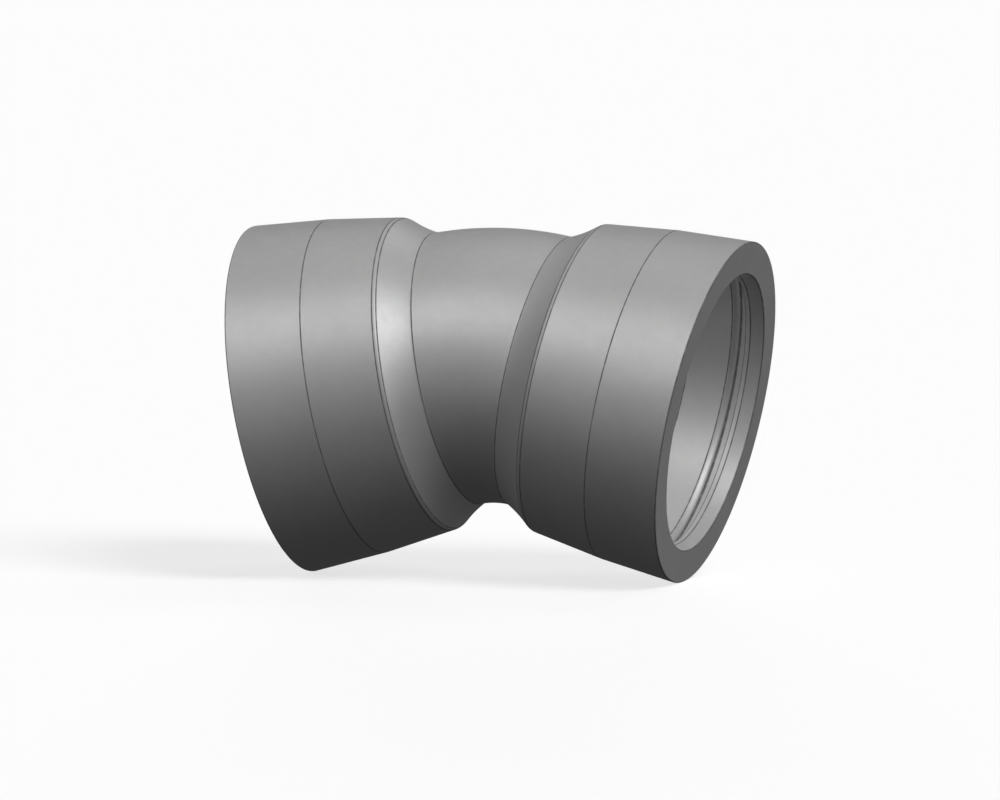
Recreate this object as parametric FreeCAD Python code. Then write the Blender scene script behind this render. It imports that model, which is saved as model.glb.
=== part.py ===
import FreeCAD, Part
import math
import os

# Double-socket pipe bend: one iron casting, a bent pipe body with a push-on socket at each end.
# Lengths are in millimetres and angles in degrees.
# X runs from socket a, on the left, to socket b, on the right. Z points up through the outside of
# the bend, and each socket dips from the middle by half of the bend's angle. The lowest points of
# the two mouth rims are at Z = 0, and the two socket axes cross above the origin.

# Bend: the radius is that of the body's middle line, and the laying length runs from the crossing
# of the two socket axes to the face that stops each pipe.
BEND_ANGLE = 22.5
BEND_RADIUS = 139.0
LAYING_LENGTH = 49.0

# Pipe that each socket takes. The next four are the gaps round it, at the lip, in the gasket
# chamber, in the throat and at the pipe stop, and the last is the step that stops it.
PIPE_RADIUS = 85.0
LIP_CLEARANCE = 1.3
GASKET_GAP = 8.4
THROAT_CLEARANCE = 3.0
LEAN_CLEARANCE = 5.0
STOP_STEP = 7.4

# Walls: at the body, at the pipe stop, at the inner end of the gasket chamber and at the mouth face
BODY_WALL = 7.7
SHOULDER_WALL = 8.4
CHAMBER_WALL = 11.4
RIM_WIDTH = 20.7

# Depths inside the socket, each measured from the mouth face
ENTRY_DEPTH = 8.6
LIP_DEPTH = 11.9
GROOVE_DEPTH = 19.1
CHAMBER_DEPTH = 48.5
THROAT_DEPTH = 53.5
SOCKET_DEPTH = 93.4

# Forms of the socket's section. The shoulder turns down by an angle before its hollow flank begins.
ENTRY_FLARE = 1.7
GROOVE_HEIGHT = 11.4
SHOULDER_TURN = 40.0

# Rounds
RIM_ROUND = 0.8
SEAL_ROUND = 4.0
THROAT_ROUND = 3.0
STOP_ROUND = 5.0
BORE_ROUND = 3.0
SHOULDER_ROUND = 5.0

# Inside radii of the socket, from the mouth inwards
LIP_RADIUS = PIPE_RADIUS + LIP_CLEARANCE
ENTRY_RADIUS = LIP_RADIUS + ENTRY_FLARE
GROOVE_RADIUS = LIP_RADIUS + GROOVE_HEIGHT
CHAMBER_RADIUS = PIPE_RADIUS + GASKET_GAP
THROAT_RADIUS = PIPE_RADIUS + THROAT_CLEARANCE
STOP_RADIUS = PIPE_RADIUS + LEAN_CLEARANCE
BORE_RADIUS = PIPE_RADIUS - STOP_STEP

# Outside radii, from the mouth inwards
RIM_RADIUS = ENTRY_RADIUS + RIM_WIDTH
BARREL_RADIUS = CHAMBER_RADIUS + CHAMBER_WALL
SHOULDER_RADIUS = STOP_RADIUS + SHOULDER_WALL
BODY_RADIUS = BORE_RADIUS + BODY_WALL

# Places along a socket's axis, measured from where the two axes cross
HALF_ANGLE = BEND_ANGLE / 2
MOUTH_REACH = LAYING_LENGTH + SOCKET_DEPTH
BEND_REACH = BEND_RADIUS * math.tan(math.radians(HALF_ANGLE))

ORIGIN = FreeCAD.Vector(0, 0, 0)
AXIS_X = FreeCAD.Vector(1, 0, 0)
AXIS_Y = FreeCAD.Vector(0, 1, 0)
AXIS_Z = FreeCAD.Vector(0, 0, 1)


def reach(distance, radius):
    """A point of the socket's section, at a distance from the crossing of the axes."""
    return FreeCAD.Vector(distance, 0, radius)


def depth(distance, radius):
    """A point of the socket's section, at a depth behind the mouth face."""
    return reach(MOUTH_REACH - distance, radius)


def direction(angle):
    """The unit direction in the section's plane that rises by an angle along the axis."""
    turn = math.radians(angle)
    return FreeCAD.Vector(math.cos(turn), 0, math.sin(turn))


def nearest_point(point, start, end):
    """The point nearest to another one, on the straight line from a start to an end."""
    along = (end - start).normalize()
    return start + along * (point - start).dot(along)


def corner_centre(before, corner, after, radius):
    """Centre of the round that replaces a corner between two straight lines."""
    back = (before - corner).normalize()
    ahead = (after - corner).normalize()
    half = back.getAngle(ahead) / 2
    return corner + (back + ahead).normalize() * (radius / math.sin(half))


def corner_round(before, corner, after, radius):
    """Start, middle and end of the round that replaces a corner between two straight lines."""
    centre = corner_centre(before, corner, after, radius)
    first = nearest_point(centre, corner, before)
    last = nearest_point(centre, corner, after)
    middle = centre + (corner - centre).normalize() * radius
    return first, middle, last


class Outline:
    """A closed outline, drawn edge by edge."""

    def __init__(self, start):
        self.start = start
        self.here = start
        self.edges = []

    def line(self, end):
        self.edges.append(Part.LineSegment(self.here, end).toShape())
        self.here = end

    def arc(self, middle, end):
        self.edges.append(Part.Arc(self.here, middle, end).toShape())
        self.here = end

    def rounded_corner(self, corner, after, radius):
        first, middle, last = corner_round(self.here, corner, after, radius)
        self.line(first)
        self.arc(middle, last)

    def face(self):
        self.line(self.start)
        return Part.Face(Part.Wire(self.edges))


def shoulder_arc():
    """Start, middle and end of the convex round where the barrel turns down to the flank."""
    barrel_end = depth(SOCKET_DEPTH, SHOULDER_RADIUS)
    barrel_start = depth(CHAMBER_DEPTH, BARREL_RADIUS)
    barrel_rise = barrel_start - barrel_end
    barrel_angle = math.degrees(math.atan2(barrel_rise.z, barrel_rise.x))
    centre = barrel_end - direction(barrel_angle + 90) * SHOULDER_ROUND
    middle_angle = (barrel_angle + SHOULDER_TURN) / 2
    middle = centre + direction(middle_angle + 90) * SHOULDER_ROUND
    low = centre + direction(SHOULDER_TURN + 90) * SHOULDER_ROUND
    return low, middle, barrel_end


def flank_middle(foot, top):
    """The middle of the hollow arc from the body up to the shoulder, which it meets smoothly."""
    chord = top - foot
    chord_angle = math.degrees(math.atan2(chord.z, chord.x))
    half_turn = SHOULDER_TURN - chord_angle
    sag = chord.Length / 2 * math.tan(math.radians(half_turn / 2))
    return (foot + top) * 0.5 - direction(chord_angle + 90) * sag


def outer_side(outline):
    """The outside of the socket, from the body out to the mouth face."""
    low, middle, barrel_end = shoulder_arc()
    outline.arc(flank_middle(outline.here, low), low)
    outline.arc(middle, barrel_end)
    outline.line(depth(CHAMBER_DEPTH, BARREL_RADIUS))
    outline.rounded_corner(depth(0, RIM_RADIUS), depth(0, ENTRY_RADIUS), RIM_ROUND)
    outline.rounded_corner(depth(0, ENTRY_RADIUS), depth(ENTRY_DEPTH, LIP_RADIUS), RIM_ROUND)


def gasket_seat(outline):
    """The lip, the groove that locks the gasket's heel, and the chamber that its bulb fills."""
    outline.line(depth(ENTRY_DEPTH, LIP_RADIUS))
    outline.line(depth(LIP_DEPTH, LIP_RADIUS))
    outline.line(depth(LIP_DEPTH, GROOVE_RADIUS))
    outline.line(depth(GROOVE_DEPTH, GROOVE_RADIUS))
    outline.rounded_corner(
        depth(GROOVE_DEPTH, CHAMBER_RADIUS), depth(CHAMBER_DEPTH, CHAMBER_RADIUS), SEAL_ROUND
    )
    outline.line(depth(CHAMBER_DEPTH, CHAMBER_RADIUS))


def pipe_seat(outline):
    """The throat, the chamber that lets the pipe lean, the pipe stop and the start of the bore."""
    throat = depth(THROAT_DEPTH, THROAT_RADIUS)
    stop = depth(SOCKET_DEPTH, STOP_RADIUS)
    step = depth(SOCKET_DEPTH, BORE_RADIUS)
    bore_end = reach(BEND_REACH, BORE_RADIUS)
    outline.rounded_corner(throat, stop, THROAT_ROUND)
    outline.rounded_corner(stop, step, STOP_ROUND)
    outline.rounded_corner(step, bore_end, BORE_ROUND)
    outline.line(bore_end)


def socket():
    """One socket, turned about its own axis, with the crossing of the axes at the origin."""
    outline = Outline(reach(BEND_REACH, BODY_RADIUS))
    outer_side(outline)
    gasket_seat(outline)
    pipe_seat(outline)
    return outline.face().revolve(ORIGIN, AXIS_X, 360)


def body():
    """The pipe wall between the two sockets, swept round the bend's centre."""
    centre = FreeCAD.Vector(0, 0, -BEND_RADIUS / math.cos(math.radians(HALF_ANGLE)))
    start = direction(HALF_ANGLE) * -BEND_REACH
    outer = Part.Wire(Part.makeCircle(BODY_RADIUS, start, direction(HALF_ANGLE)))
    inner = Part.Wire(Part.makeCircle(BORE_RADIUS, start, direction(HALF_ANGLE)))
    return Part.Face([outer, inner]).revolve(centre, AXIS_Y, BEND_ANGLE)


def axes_height():
    """Height of the crossing of the axes over the lowest points of the two rims."""
    barrel_start = depth(CHAMBER_DEPTH, BARREL_RADIUS)
    rim = depth(0, RIM_RADIUS)
    rim_centre = corner_centre(barrel_start, rim, depth(0, ENTRY_RADIUS), RIM_ROUND)
    return rim_centre.dot(direction(90 - HALF_ANGLE)) + RIM_ROUND


def bend_casting():
    """The whole casting in its own frame."""
    socket_b = socket()
    socket_b.rotate(ORIGIN, AXIS_Y, HALF_ANGLE)
    socket_a = socket_b.copy()
    socket_a.rotate(ORIGIN, AXIS_Z, 180)
    casting = body().fuse([socket_a, socket_b]).removeSplitter()
    casting.translate(FreeCAD.Vector(0, 0, axes_height()))
    return casting.Solids[0]


def main():
    os.makedirs("parts", exist_ok=True)
    casting = bend_casting()
    casting.exportStep("parts/bend_casting.step")
    box = casting.optimalBoundingBox(True, False)
    print("solids", len(casting.Solids), "valid", casting.isValid())
    print("volume in cm3", round(casting.Volume / 1000, 1))
    print("box", [round(v, 2) for v in (box.XMin, box.YMin, box.ZMin, box.XMax, box.YMax, box.ZMax)])
    print("axes cross at Z", round(axes_height(), 3))


main()
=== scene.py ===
import math
from typing import NamedTuple

import bmesh
import bpy
from mathutils import Euler, Matrix, Vector


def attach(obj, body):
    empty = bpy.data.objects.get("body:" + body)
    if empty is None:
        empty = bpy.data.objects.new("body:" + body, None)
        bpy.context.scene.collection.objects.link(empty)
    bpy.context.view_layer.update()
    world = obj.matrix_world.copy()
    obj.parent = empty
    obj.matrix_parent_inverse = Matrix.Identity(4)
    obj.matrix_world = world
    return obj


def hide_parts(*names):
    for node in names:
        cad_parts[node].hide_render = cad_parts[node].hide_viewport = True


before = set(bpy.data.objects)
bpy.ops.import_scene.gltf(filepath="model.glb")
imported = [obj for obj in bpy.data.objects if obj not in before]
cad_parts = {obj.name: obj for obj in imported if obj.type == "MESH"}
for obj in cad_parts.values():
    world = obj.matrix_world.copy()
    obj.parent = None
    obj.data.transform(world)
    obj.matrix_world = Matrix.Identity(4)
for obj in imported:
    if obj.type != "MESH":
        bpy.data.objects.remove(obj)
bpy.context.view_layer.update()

# Double-socket pipe bend, one iron casting. Lengths are in metres, and angles in radians unless a
# comment says degrees. The sizes are the casting's own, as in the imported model.
MM = 0.001

# Bend
HALF_ANGLE = math.radians(11.25)
BEND_RADIUS = 139.0 * MM
BEND_REACH = BEND_RADIUS * math.tan(HALF_ANGLE)
AXES_HEIGHT = 134.186 * MM

# Mouth face, measured along a socket's axis from where the two axes cross
MOUTH_REACH = 142.4 * MM

# Depths inside the socket, measured from the mouth face
ENTRY_DEPTH = 8.6 * MM
LIP_DEPTH = 11.9 * MM
GROOVE_DEPTH = 19.1 * MM
CHAMBER_DEPTH = 48.5 * MM
THROAT_DEPTH = 53.5 * MM
SOCKET_DEPTH = 93.4 * MM

# Outside radii, from the mouth inwards
RIM_RADIUS = 108.7 * MM
BARREL_RADIUS = 104.8 * MM
SHOULDER_RADIUS = 98.4 * MM
BODY_RADIUS = 85.3 * MM

# Inside radii, from the mouth inwards
ENTRY_RADIUS = 88.0 * MM
LIP_RADIUS = 86.3 * MM
GROOVE_RADIUS = 97.7 * MM
CHAMBER_RADIUS = 93.4 * MM
THROAT_RADIUS = 88.0 * MM
STOP_RADIUS = 90.0 * MM
BORE_RADIUS = 77.6 * MM

# Rounds
SHOULDER_TURN = math.radians(40.0)
SHOULDER_ROUND = 5.0 * MM
BARREL_ROUND = 20.0 * MM
RIM_ROUND = 0.8 * MM
LIP_ROUND = 0.35 * MM
SEAL_ROUND = 4.0 * MM
THROAT_ROUND = 3.0 * MM
STOP_ROUND = 5.0 * MM
BORE_ROUND = 3.0 * MM

# Fineness of the mesh
SECTORS = 8
STEPS_TO_A_SECTOR = 32
STEPS_ALONG_THE_BODY = 30
STEPS_ALONG_THE_FLANK = 18
DEGREES_TO_A_STEP = 7.5

# How close two points have to be to count as one, on a crease and where two meshes meet
CREASE_TOLERANCE = 0.01 * MM
SEAM_TOLERANCE = 0.02 * MM

# How far the dark of rubbed edges reaches from most edges and from the mouth's, and the painted
# shade from the back corner of the groove. Each is full over the first share of its reach.
EDGE_WEAR = 0.56 * MM
RIM_WEAR = 0.80 * MM
GROOVE_PAINTED_SHADE = 1.50 * MM
FULL_WEAR_AND_SHADE_SHARE = 0.48

# Noise patterns of the blasted iron: waves to a metre, detail and roughness
CLOUDS = (38.0, 3.0, 0.55)
MOTTLES = (190.0, 4.0, 0.6)
SAND_GRAINS = (1150.0, 3.0, 0.6)
SPECKS = (1500.0, 2.0, 0.5)

# Part of each pattern over which its effect grows, and the share or shares that the effect reaches
CLOUD_RISE = (0.3, 0.7)
MOTTLE_RISE = (0.35, 0.7)
MOTTLE_SHARES = (0.0, 0.35)
SPECK_RISE = (0.62, 0.78)
SPECK_SHARE = 0.3
# The patches of the rubbed dark, and of the painted shade in the groove's back corner
WEAR_AND_SHADE_RISE = (0.25, 0.6)
WEAR_AND_SHADE_SHARES = (0.6, 0.9)
GLOSS_RISE = (0.3, 0.7)

# Colours of the blasted iron: red, green, blue and alpha
IRON_GREY = (0.392, 0.392, 0.395, 1)
PALE_IRON = (0.409, 0.409, 0.406, 1)
MOTTLED_IRON = (0.375, 0.375, 0.377, 1)
DARK_SPECK = (0.27, 0.268, 0.265, 1)
# The dark of rubbed edges, also the painted shade in the back corner of the groove
WORN_IRON_AND_PAINTED_SHADE = (0.112, 0.112, 0.114, 1)

# Finish of the blasted iron
METAL_SHARE = 0.6
ROUGHNESSES = (0.485, 0.515)
SPECK_ROUGHNESS = 0.08
WEAR_AND_SHADE_ROUGHNESS = 0.4
SAND_STRENGTH = 0.35
SAND_HEIGHT = 0.05 * MM
WAVE_STRENGTH = 0.09
WAVE_HEIGHT = 0.12 * MM

# Camera: its angles in degrees, the width of its picture, and the point that it looks at, which is
# a little to the right of and below where the socket axes cross
AZIMUTH = 16.70
ELEVATION = 5.866
ROLL = 0.086
PICTURE_WIDTH = 620 * MM
AIM_RIGHT = 0.05 * MM
AIM_DOWN = 24.19 * MM
CAMERA_DISTANCE = 4.0
VIEW_DEPTH = 100

# Light from all round, the brightness of the surround as the camera sees it, and the floor
WHITE = (1, 1, 1, 1)
AMBIENT = 0.06
SURROUND = 0.97
FLOOR_TONE = 0.45
HALF_FLOOR = 15

# Sockets of the colour mixing node, whose names are used twice: the two colours and the result
FIRST_COLOUR = 6
SECOND_COLOUR = 7
MIXED_COLOUR = 2

X_AXIS = Vector((1, 0, 0))
Y_AXIS = Vector((0, 1, 0))
Z_AXIS = Vector((0, 0, 1))


class Lamp(NamedTuple):
    """A wide, distant lamp: the direction from the bend to it, and half its width in degrees."""

    name: str
    towards: tuple
    half_width: float
    strength: float
    casts_shadow: bool = True
    gleams: bool = True


# The lamps without shadows also light the hollows of the sockets, right down to the bottom. The
# last lamp, opposite the camera, lights the sides that the picture doesn't show.
LAMPS = (
    Lamp("key_right_front", (0.59, -0.39, 0.71), 15, 1.60),
    Lamp("key_left_front", (-0.36, -0.60, 0.72), 20, 1.06, casts_shadow=False),
    Lamp("side_right", (0.94, -0.05, 0.33), 15, 1.05, casts_shadow=False),
    Lamp("front_fill", (-0.34, -0.91, 0.24), 30, 0.33, casts_shadow=False),
    Lamp("back_left", (-0.54, 0.45, 0.71), 30, 0.36, casts_shadow=False),
    Lamp("back_right", (0.20, 0.65, 0.73), 15, 0.336),
    Lamp("top", (-0.12, 0.16, 0.98), 15, 0.205, casts_shadow=False),
    Lamp("back_fill", (-0.29, 0.955, 0.04), 10, 2.5, gleams=False),
)


def reach(distance, radius):
    """A point of the socket's section, at a distance from the crossing of the axes."""
    return Vector((distance, 0, radius))


def depth(distance, radius):
    """A point of the socket's section, at a depth behind the mouth face."""
    return reach(MOUTH_REACH - distance, radius)


def direction(angle):
    """The unit direction in the section's plane that rises by an angle along the axis."""
    return Vector((math.cos(angle), 0, math.sin(angle)))


class Section:
    """The socket's wall in section, drawn as a chain of edges by extruding and spinning its tip.

    It keeps the corners that stay sharp, and the places that are darkened, each with the width of
    its dark: rubbed edges, and painted shade in the back corner of the groove.
    """

    def __init__(self, mesh, start):
        self.mesh = mesh
        self.tip = mesh.verts.new(start)
        self.creases = [start]
        self.worn_and_painted_shade = []
        self.wear_and_painted_shade(start)

    # Darkens a place: rubbed edges, and painted shade in the back corner of the groove
    def wear_and_painted_shade(self, place, width=EDGE_WEAR):
        self.worn_and_painted_shade.append((Vector(place), width))

    def line(self, end):
        made = bmesh.ops.extrude_vert_indiv(self.mesh, verts=[self.tip])
        self.tip = made["verts"][0]
        self.tip.co = end

    def arc(self, centre, angle, steps=None):
        steps = steps or max(2, math.ceil(abs(math.degrees(angle)) / DEGREES_TO_A_STEP))
        made = bmesh.ops.spin(
            self.mesh, geom=[self.tip], cent=centre, axis=-Y_AXIS, angle=angle, steps=steps,
        )
        ends = made["geom_last"]
        self.tip = next(end for end in ends if isinstance(end, bmesh.types.BMVert))

    def hard_corner(self, corner, wear_and_painted_shade=EDGE_WEAR):
        self.line(corner)
        self.creases.append(corner)
        self.wear_and_painted_shade(corner, wear_and_painted_shade)

    def rounded_corner(self, corner, after, radius):
        """Rounds a corner on the way to the next point, and gives the middle of the round."""
        back = (self.tip.co - corner).normalized()
        ahead = (after - corner).normalized()
        half = back.angle(ahead) / 2
        centre = corner + (back + ahead).normalized() * (radius / math.sin(half))
        turn = math.pi - 2 * half
        side = math.copysign(1, back.cross(ahead).y)
        self.line(corner + back * (radius / math.tan(half)))
        self.arc(centre, side * turn)
        return centre + (corner - centre).normalized() * radius

    def worn_corner(self, corner, after, radius, wear_and_painted_shade=EDGE_WEAR):
        self.wear_and_painted_shade(self.rounded_corner(corner, after, radius), wear_and_painted_shade)


def outer_side(section):
    """The outside from body to mouth: hollow flank, shoulder round, barrel and mouth cone."""
    barrel_start = depth(CHAMBER_DEPTH, BARREL_RADIUS)
    barrel_end = depth(SOCKET_DEPTH, SHOULDER_RADIUS)
    rise = barrel_start - barrel_end
    barrel_slope = math.atan2(rise.z, rise.x)
    round_centre = barrel_end - direction(barrel_slope + math.pi / 2) * SHOULDER_ROUND
    flank_top = round_centre + direction(SHOULDER_TURN + math.pi / 2) * SHOULDER_ROUND
    chord = flank_top - section.tip.co
    flank_turn = 2 * (SHOULDER_TURN - math.atan2(chord.z, chord.x))
    flank_radius = chord.length / 2 / math.sin(flank_turn / 2)
    flank_centre = flank_top + direction(SHOULDER_TURN + math.pi / 2) * flank_radius
    section.arc(flank_centre, flank_turn, STEPS_ALONG_THE_FLANK)
    section.arc(round_centre, barrel_slope - SHOULDER_TURN)
    section.wear_and_painted_shade(flank_top)
    section.wear_and_painted_shade(barrel_end)
    rim = depth(0, RIM_RADIUS)
    section.worn_corner(barrel_start, rim, BARREL_ROUND)
    section.worn_corner(rim, depth(0, ENTRY_RADIUS), RIM_ROUND, RIM_WEAR)


def gasket_seat(section):
    """The entry cone, the lip, the groove for the gasket's heel and the chamber for its bulb."""
    lip_front = depth(ENTRY_DEPTH, LIP_RADIUS)
    lip_back = depth(LIP_DEPTH, LIP_RADIUS)
    groove_front = depth(LIP_DEPTH, GROOVE_RADIUS)
    groove_back = depth(GROOVE_DEPTH, GROOVE_RADIUS)
    seal = depth(GROOVE_DEPTH, CHAMBER_RADIUS)
    chamber_end = depth(CHAMBER_DEPTH, CHAMBER_RADIUS)
    section.worn_corner(depth(0, ENTRY_RADIUS), lip_front, RIM_ROUND, RIM_WEAR)
    section.worn_corner(lip_front, lip_back, LIP_ROUND)
    section.worn_corner(lip_back, groove_front, LIP_ROUND)
    section.rounded_corner(groove_front, groove_back, LIP_ROUND)
    # The back corner of the groove gets a wide dark band: painted shade in the recess
    section.hard_corner(groove_back, GROOVE_PAINTED_SHADE)
    section.rounded_corner(seal, chamber_end, SEAL_ROUND)
    section.wear_and_painted_shade(section.tip.co)
    section.hard_corner(chamber_end)


def pipe_seat(section):
    """The throat, the chamber that lets the pipe lean, the pipe stop and the start of the bore."""
    throat = depth(THROAT_DEPTH, THROAT_RADIUS)
    stop = depth(SOCKET_DEPTH, STOP_RADIUS)
    step = depth(SOCKET_DEPTH, BORE_RADIUS)
    bore_end = reach(BEND_REACH, BORE_RADIUS)
    section.rounded_corner(throat, stop, THROAT_ROUND)
    section.rounded_corner(stop, step, STOP_ROUND)
    section.rounded_corner(step, bore_end, BORE_ROUND)
    section.line(bore_end)


def socket_section(mesh):
    """The whole wall of one socket in section, with its axis along X."""
    section = Section(mesh, reach(BEND_REACH, BODY_RADIUS))
    outer_side(section)
    gasket_seat(section)
    pipe_seat(section)
    return section


def spin_whole(mesh, axis, angle, steps, centre=(0, 0, 0), copies=False):
    """Spins all of a mesh: it sweeps the skin between its steps, or leaves only copies there."""
    whole = mesh.verts[:] + mesh.edges[:] + mesh.faces[:]
    bmesh.ops.spin(
        mesh, geom=whole, cent=centre, axis=axis, angle=angle, steps=steps, use_duplicate=copies,
    )


def ring_at(edge, places):
    """Whether an edge runs round the X axis through one of the places of the section."""
    rings = [(v.co.x, math.hypot(v.co.y, v.co.z)) for v in edge.verts]
    return any(
        all(max(abs(x - place.x), abs(r - place.z)) < CREASE_TOLERANCE for x, r in rings)
        for place in places
    )


def turned_socket(section):
    """One socket: its section turned through a sector, which is then repeated all round."""
    mesh = section.mesh
    sector = math.tau / SECTORS
    spin_whole(mesh, X_AXIS, sector, STEPS_TO_A_SECTOR)
    spin_whole(mesh, X_AXIS, math.tau - sector, SECTORS - 1, copies=True)
    for edge in mesh.edges:
        edge.smooth = not ring_at(edge, section.creases)
    return mesh


def both_sockets(mesh):
    """Socket b, tilted down by half of the bend, and socket a, its copy turned half round."""
    tilt = Matrix.Rotation(HALF_ANGLE, 4, Y_AXIS)
    bmesh.ops.transform(mesh, matrix=tilt, verts=mesh.verts)
    spin_whole(mesh, Z_AXIS, math.pi, 1, copies=True)
    return mesh


def bent_body():
    """The pipe wall between the sockets: its two circles swept round the bend's centre."""
    mesh = bmesh.new()
    for radius in (BODY_RADIUS, BORE_RADIUS):
        bmesh.ops.spin(
            mesh, geom=[mesh.verts.new(reach(-BEND_REACH, radius))], cent=(0, 0, 0), axis=X_AXIS,
            angle=math.tau, steps=SECTORS * STEPS_TO_A_SECTOR, use_merge=True,
        )
    tilt = Matrix.Rotation(-HALF_ANGLE, 4, Y_AXIS)
    bmesh.ops.transform(mesh, matrix=tilt, verts=mesh.verts)
    centre = Vector((0, 0, -BEND_RADIUS / math.cos(HALF_ANGLE)))
    spin_whole(mesh, Y_AXIS, 2 * HALF_ANGLE, STEPS_ALONG_THE_BODY, centre)
    return mesh


def mesh_data(mesh, name):
    """A finished bmesh as the data of an object."""
    data = bpy.data.meshes.new(name)
    mesh.to_mesh(data)
    mesh.free()
    return data


def placed(name, data):
    """A new object in the scene."""
    item = bpy.data.objects.new(name, data)
    bpy.context.scene.collection.objects.link(item)
    return item


def joined(meshes):
    """Several meshes as one, with the rings where they meet merged."""
    whole = bmesh.new()
    for mesh in meshes:
        data = mesh_data(mesh, "part")
        whole.from_mesh(data)
        bpy.data.meshes.remove(data)
    bmesh.ops.remove_doubles(whole, verts=whole.verts, dist=SEAM_TOLERANCE)
    return whole


def cast_bend(section):
    """The whole casting as one closed skin with its faces outwards: the body and two sockets."""
    mesh = joined([both_sockets(turned_socket(section)), bent_body()])
    bmesh.ops.translate(mesh, vec=(0, 0, AXES_HEIGHT), verts=mesh.verts)
    bmesh.ops.recalc_face_normals(mesh, faces=mesh.faces)
    for face in mesh.faces:
        face.smooth = True
    return placed("cast_bend", mesh_data(mesh, "cast_bend"))


class Nodes:
    """Short calls for the nodes and links of a material or the surround."""

    def __init__(self, tree):
        self.tree = tree

    def feed(self, node, sockets):
        """Sets the inputs of a node, each to a value or to what another node gives."""
        for place, value in dict(sockets).items():
            if isinstance(value, bpy.types.NodeSocket):
                self.tree.links.new(value, node.inputs[place])
            else:
                node.inputs[place].default_value = value

    def add(self, kind, sockets=(), **settings):
        node = self.tree.nodes.new(kind)
        for name, value in settings.items():
            setattr(node, name, value)
        self.feed(node, sockets)
        return node

    def math(self, operation, *values):
        return self.add("ShaderNodeMath", enumerate(values), operation=operation).outputs[0]

    def vector(self, operation, *values, output="Vector"):
        node = self.add("ShaderNodeVectorMath", enumerate(values), operation=operation)
        return node.outputs[output]

    def noise(self, place, scale, detail, roughness):
        sockets = {"Vector": place, "Scale": scale, "Detail": detail, "Roughness": roughness}
        return self.add("ShaderNodeTexNoise", sockets).outputs["Fac"]

    def ramp(self, value, low, high, start=0.0, end=1.0):
        """A value's smooth way from a start to an end, as it goes from low to high."""
        sockets = {
            "Value": value, "From Min": low, "From Max": high, "To Min": start, "To Max": end,
        }
        node = self.add("ShaderNodeMapRange", sockets, interpolation_type="SMOOTHSTEP")
        return node.outputs["Result"]

    def blend(self, share, first, second):
        sockets = {"Factor": share, FIRST_COLOUR: first, SECOND_COLOUR: second}
        return self.add("ShaderNodeMix", sockets, data_type="RGBA").outputs[MIXED_COLOUR]

    def bump(self, strength, height, pattern, sockets=()):
        """The normal of a surface that a pattern raises by up to a height."""
        sockets = {"Strength": strength, "Distance": height, "Height": pattern, **dict(sockets)}
        return self.add("ShaderNodeBump", sockets).outputs["Normal"]


def new_material(name):
    """A new material, the short calls for its nodes, and its shader."""
    material = bpy.data.materials.new(name)
    material.use_nodes = True
    nodes = material.node_tree.nodes
    return material, Nodes(material.node_tree), nodes["Principled BSDF"]


def wear_and_painted_shade_share(nodes, place, worn_edges_and_painted_shade):
    """One on the rubbed edges and on the painted shade in the groove's back corner, fading to
    nothing beside them.

    Both sockets are alike, so X is taken without its sign. A place of the object is turned back
    into a place of the section, which is then measured to each rubbed edge and to the back corner
    of the groove.
    """
    parts = nodes.add("ShaderNodeSeparateXYZ", {"Vector": place}).outputs
    across = nodes.math("ABSOLUTE", parts["X"])
    high = nodes.math("SUBTRACT", parts["Z"], AXES_HEIGHT)
    along_axis = nodes.math(
        "SUBTRACT", nodes.math("MULTIPLY", across, math.cos(HALF_ANGLE)),
        nodes.math("MULTIPLY", high, math.sin(HALF_ANGLE)),
    )
    off_axis = nodes.math(
        "ADD", nodes.math("MULTIPLY", across, math.sin(HALF_ANGLE)),
        nodes.math("MULTIPLY", high, math.cos(HALF_ANGLE)),
    )
    flat = nodes.add("ShaderNodeCombineXYZ", {"X": parts["Y"], "Y": off_axis}).outputs[0]
    radius = nodes.vector("LENGTH", flat, output="Value")
    section = nodes.add("ShaderNodeCombineXYZ", {"X": along_axis, "Z": radius}).outputs[0]
    nearest = 1.0
    for edge, width in worn_edges_and_painted_shade:
        gap = nodes.vector("DISTANCE", section, edge, output="Value")
        nearest = nodes.math("MINIMUM", nearest, nodes.math("DIVIDE", gap, width))
    return nodes.ramp(nearest, FULL_WEAR_AND_SHADE_SHARE, 1.0, 1.0, 0.0)


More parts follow.
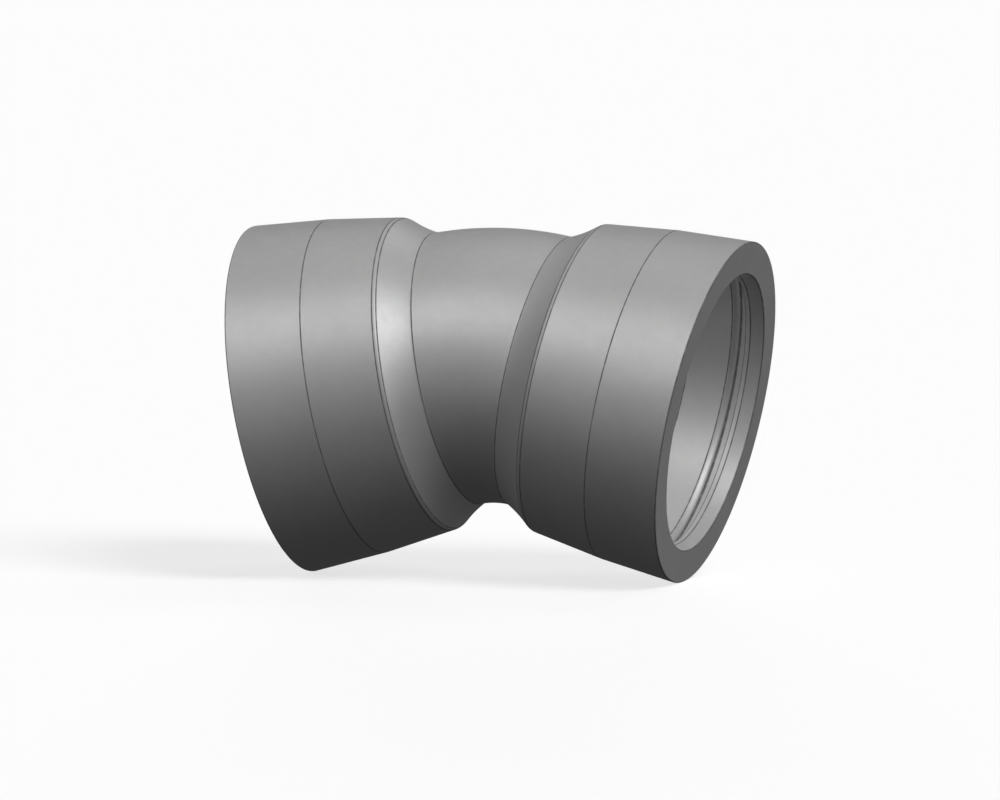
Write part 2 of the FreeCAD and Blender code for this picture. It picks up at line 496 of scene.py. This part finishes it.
def blasted_iron(worn_edges_and_painted_shade):
    """Ductile iron as it leaves the shot blast: sand grain, faint mottling, dark rubbed edges, and
    painted shade in the back corner of the groove.
    """
    material, nodes, shader = new_material("blasted_iron")
    place = nodes.add("ShaderNodeTexCoord").outputs["Object"]

    cloud = nodes.noise(place, *CLOUDS)
    mottle = nodes.noise(place, *MOTTLES)
    speck = nodes.ramp(nodes.noise(place, *SPECKS), *SPECK_RISE)
    patchy = nodes.ramp(mottle, *WEAR_AND_SHADE_RISE, *WEAR_AND_SHADE_SHARES)
    # A mask of the rubbed edges and of the painted shade in the groove's back corner, in patches
    wear_and_painted_shade = nodes.math("MULTIPLY", wear_and_painted_shade_share(nodes, place, worn_edges_and_painted_shade), patchy)

    tone = nodes.blend(nodes.ramp(cloud, *CLOUD_RISE), IRON_GREY, PALE_IRON)
    tone = nodes.blend(nodes.ramp(mottle, *MOTTLE_RISE, *MOTTLE_SHARES), tone, MOTTLED_IRON)
    tone = nodes.blend(nodes.math("MULTIPLY", speck, SPECK_SHARE), tone, DARK_SPECK)
    # Darkens the rubbed edges, and paints shade into the back corner of the groove
    tone = nodes.blend(wear_and_painted_shade, tone, WORN_IRON_AND_PAINTED_SHADE)

    roughness = nodes.ramp(mottle, *GLOSS_RISE, *ROUGHNESSES)
    roughness = nodes.math("ADD", roughness, nodes.math("MULTIPLY", speck, SPECK_ROUGHNESS))
    roughness = nodes.math("ADD", roughness, nodes.math("MULTIPLY", wear_and_painted_shade, WEAR_AND_SHADE_ROUGHNESS))

    sand = nodes.bump(SAND_STRENGTH, SAND_HEIGHT, nodes.noise(place, *SAND_GRAINS))
    waves = nodes.bump(WAVE_STRENGTH, WAVE_HEIGHT, mottle, {"Normal": sand})

    nodes.feed(shader, {
        "Base Color": tone, "Roughness": roughness, "Metallic": METAL_SHARE, "Normal": waves,
    })
    return material


def pale_floor():
    """A matt floor that glows a little: lit, it has the surround's tone, with light shadows."""
    material, nodes, shader = new_material("pale_floor")
    lamp_light = sum(lamp.strength * Vector(lamp.towards).normalized().z for lamp in LAMPS)
    light = AMBIENT + lamp_light / math.pi
    nodes.feed(shader, {
        "Base Color": (FLOOR_TONE, FLOOR_TONE, FLOOR_TONE, 1),
        "Specular IOR Level": 0.0,
        "Roughness": 1.0,
        "Emission Color": WHITE,
        "Emission Strength": SURROUND - FLOOR_TONE * light,
    })
    material.cycles.emission_sampling = "NONE"
    return material


def floor():
    """A wide floor under the lowest points of the two rims, which throws no light on the bend."""
    mesh = bmesh.new()
    bmesh.ops.create_grid(mesh, x_segments=1, y_segments=1, size=HALF_FLOOR)
    ground = placed("floor", mesh_data(mesh, "floor"))
    ground.data.materials.append(pale_floor())
    ground.visible_diffuse = False
    ground.visible_glossy = False


def camera():
    """A parallel camera at the angle of the reference picture."""
    data = bpy.data.cameras.new("camera")
    data.type = "ORTHO"
    data.ortho_scale = PICTURE_WIDTH
    data.clip_end = VIEW_DEPTH
    azimuth, elevation, roll = (math.radians(angle) for angle in (AZIMUTH, ELEVATION, ROLL))
    turned = Euler((math.pi / 2 - elevation, 0, azimuth)).to_matrix()
    turned = turned @ Matrix.Rotation(roll, 3, "Z")
    right, up, back = turned.col
    target = Vector((0, 0, AXES_HEIGHT)) + right * AIM_RIGHT - up * AIM_DOWN
    eye = placed("camera", data)
    eye.matrix_world = Matrix.Translation(target + back * CAMERA_DISTANCE) @ turned.to_4x4()
    bpy.context.scene.camera = eye


def soft_light(lamp):
    """One of the lamps in the scene."""
    data = bpy.data.lights.new(lamp.name, "SUN")
    data.energy = lamp.strength
    data.angle = 2 * math.radians(lamp.half_width)
    data.use_shadow = lamp.casts_shadow
    # A lamp without shadows lights a hollow fully only where this is off
    data.cycles.use_multiple_importance_sampling = lamp.casts_shadow
    light = placed(lamp.name, data)
    light.rotation_mode = "QUATERNION"
    light.rotation_quaternion = Vector(lamp.towards).to_track_quat("Z", "Y")
    light.visible_glossy = lamp.gleams


def studio():
    """The lamps, and a pale surround that the camera sees brighter than it lights."""
    for lamp in LAMPS:
        soft_light(lamp)
    world = bpy.data.worlds.new("studio")
    bpy.context.scene.world = world
    world.use_nodes = True
    nodes = Nodes(world.node_tree)
    lit = world.node_tree.nodes["Background"]
    nodes.feed(lit, {"Color": WHITE, "Strength": AMBIENT})
    seen = nodes.add("ShaderNodeBackground", {"Color": WHITE, "Strength": SURROUND})
    to_camera = nodes.add("ShaderNodeLightPath").outputs["Is Camera Ray"]
    mix = nodes.add("ShaderNodeMixShader", {0: to_camera, 1: lit.outputs[0], 2: seen.outputs[0]})
    nodes.feed(world.node_tree.nodes["World Output"], {"Surface": mix.outputs[0]})
    view = bpy.context.scene.view_settings
    view.view_transform = "Standard"
    view.look = "None"


camera()
studio()
floor()
section = socket_section(bmesh.new())
bend = cast_bend(section)
bend.data.materials.append(blasted_iron(section.worn_and_painted_shade))
even = bend.modifiers.new("even_shading", "WEIGHTED_NORMAL")
even.keep_sharp = True
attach(bend, "root")
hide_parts("bend_casting")
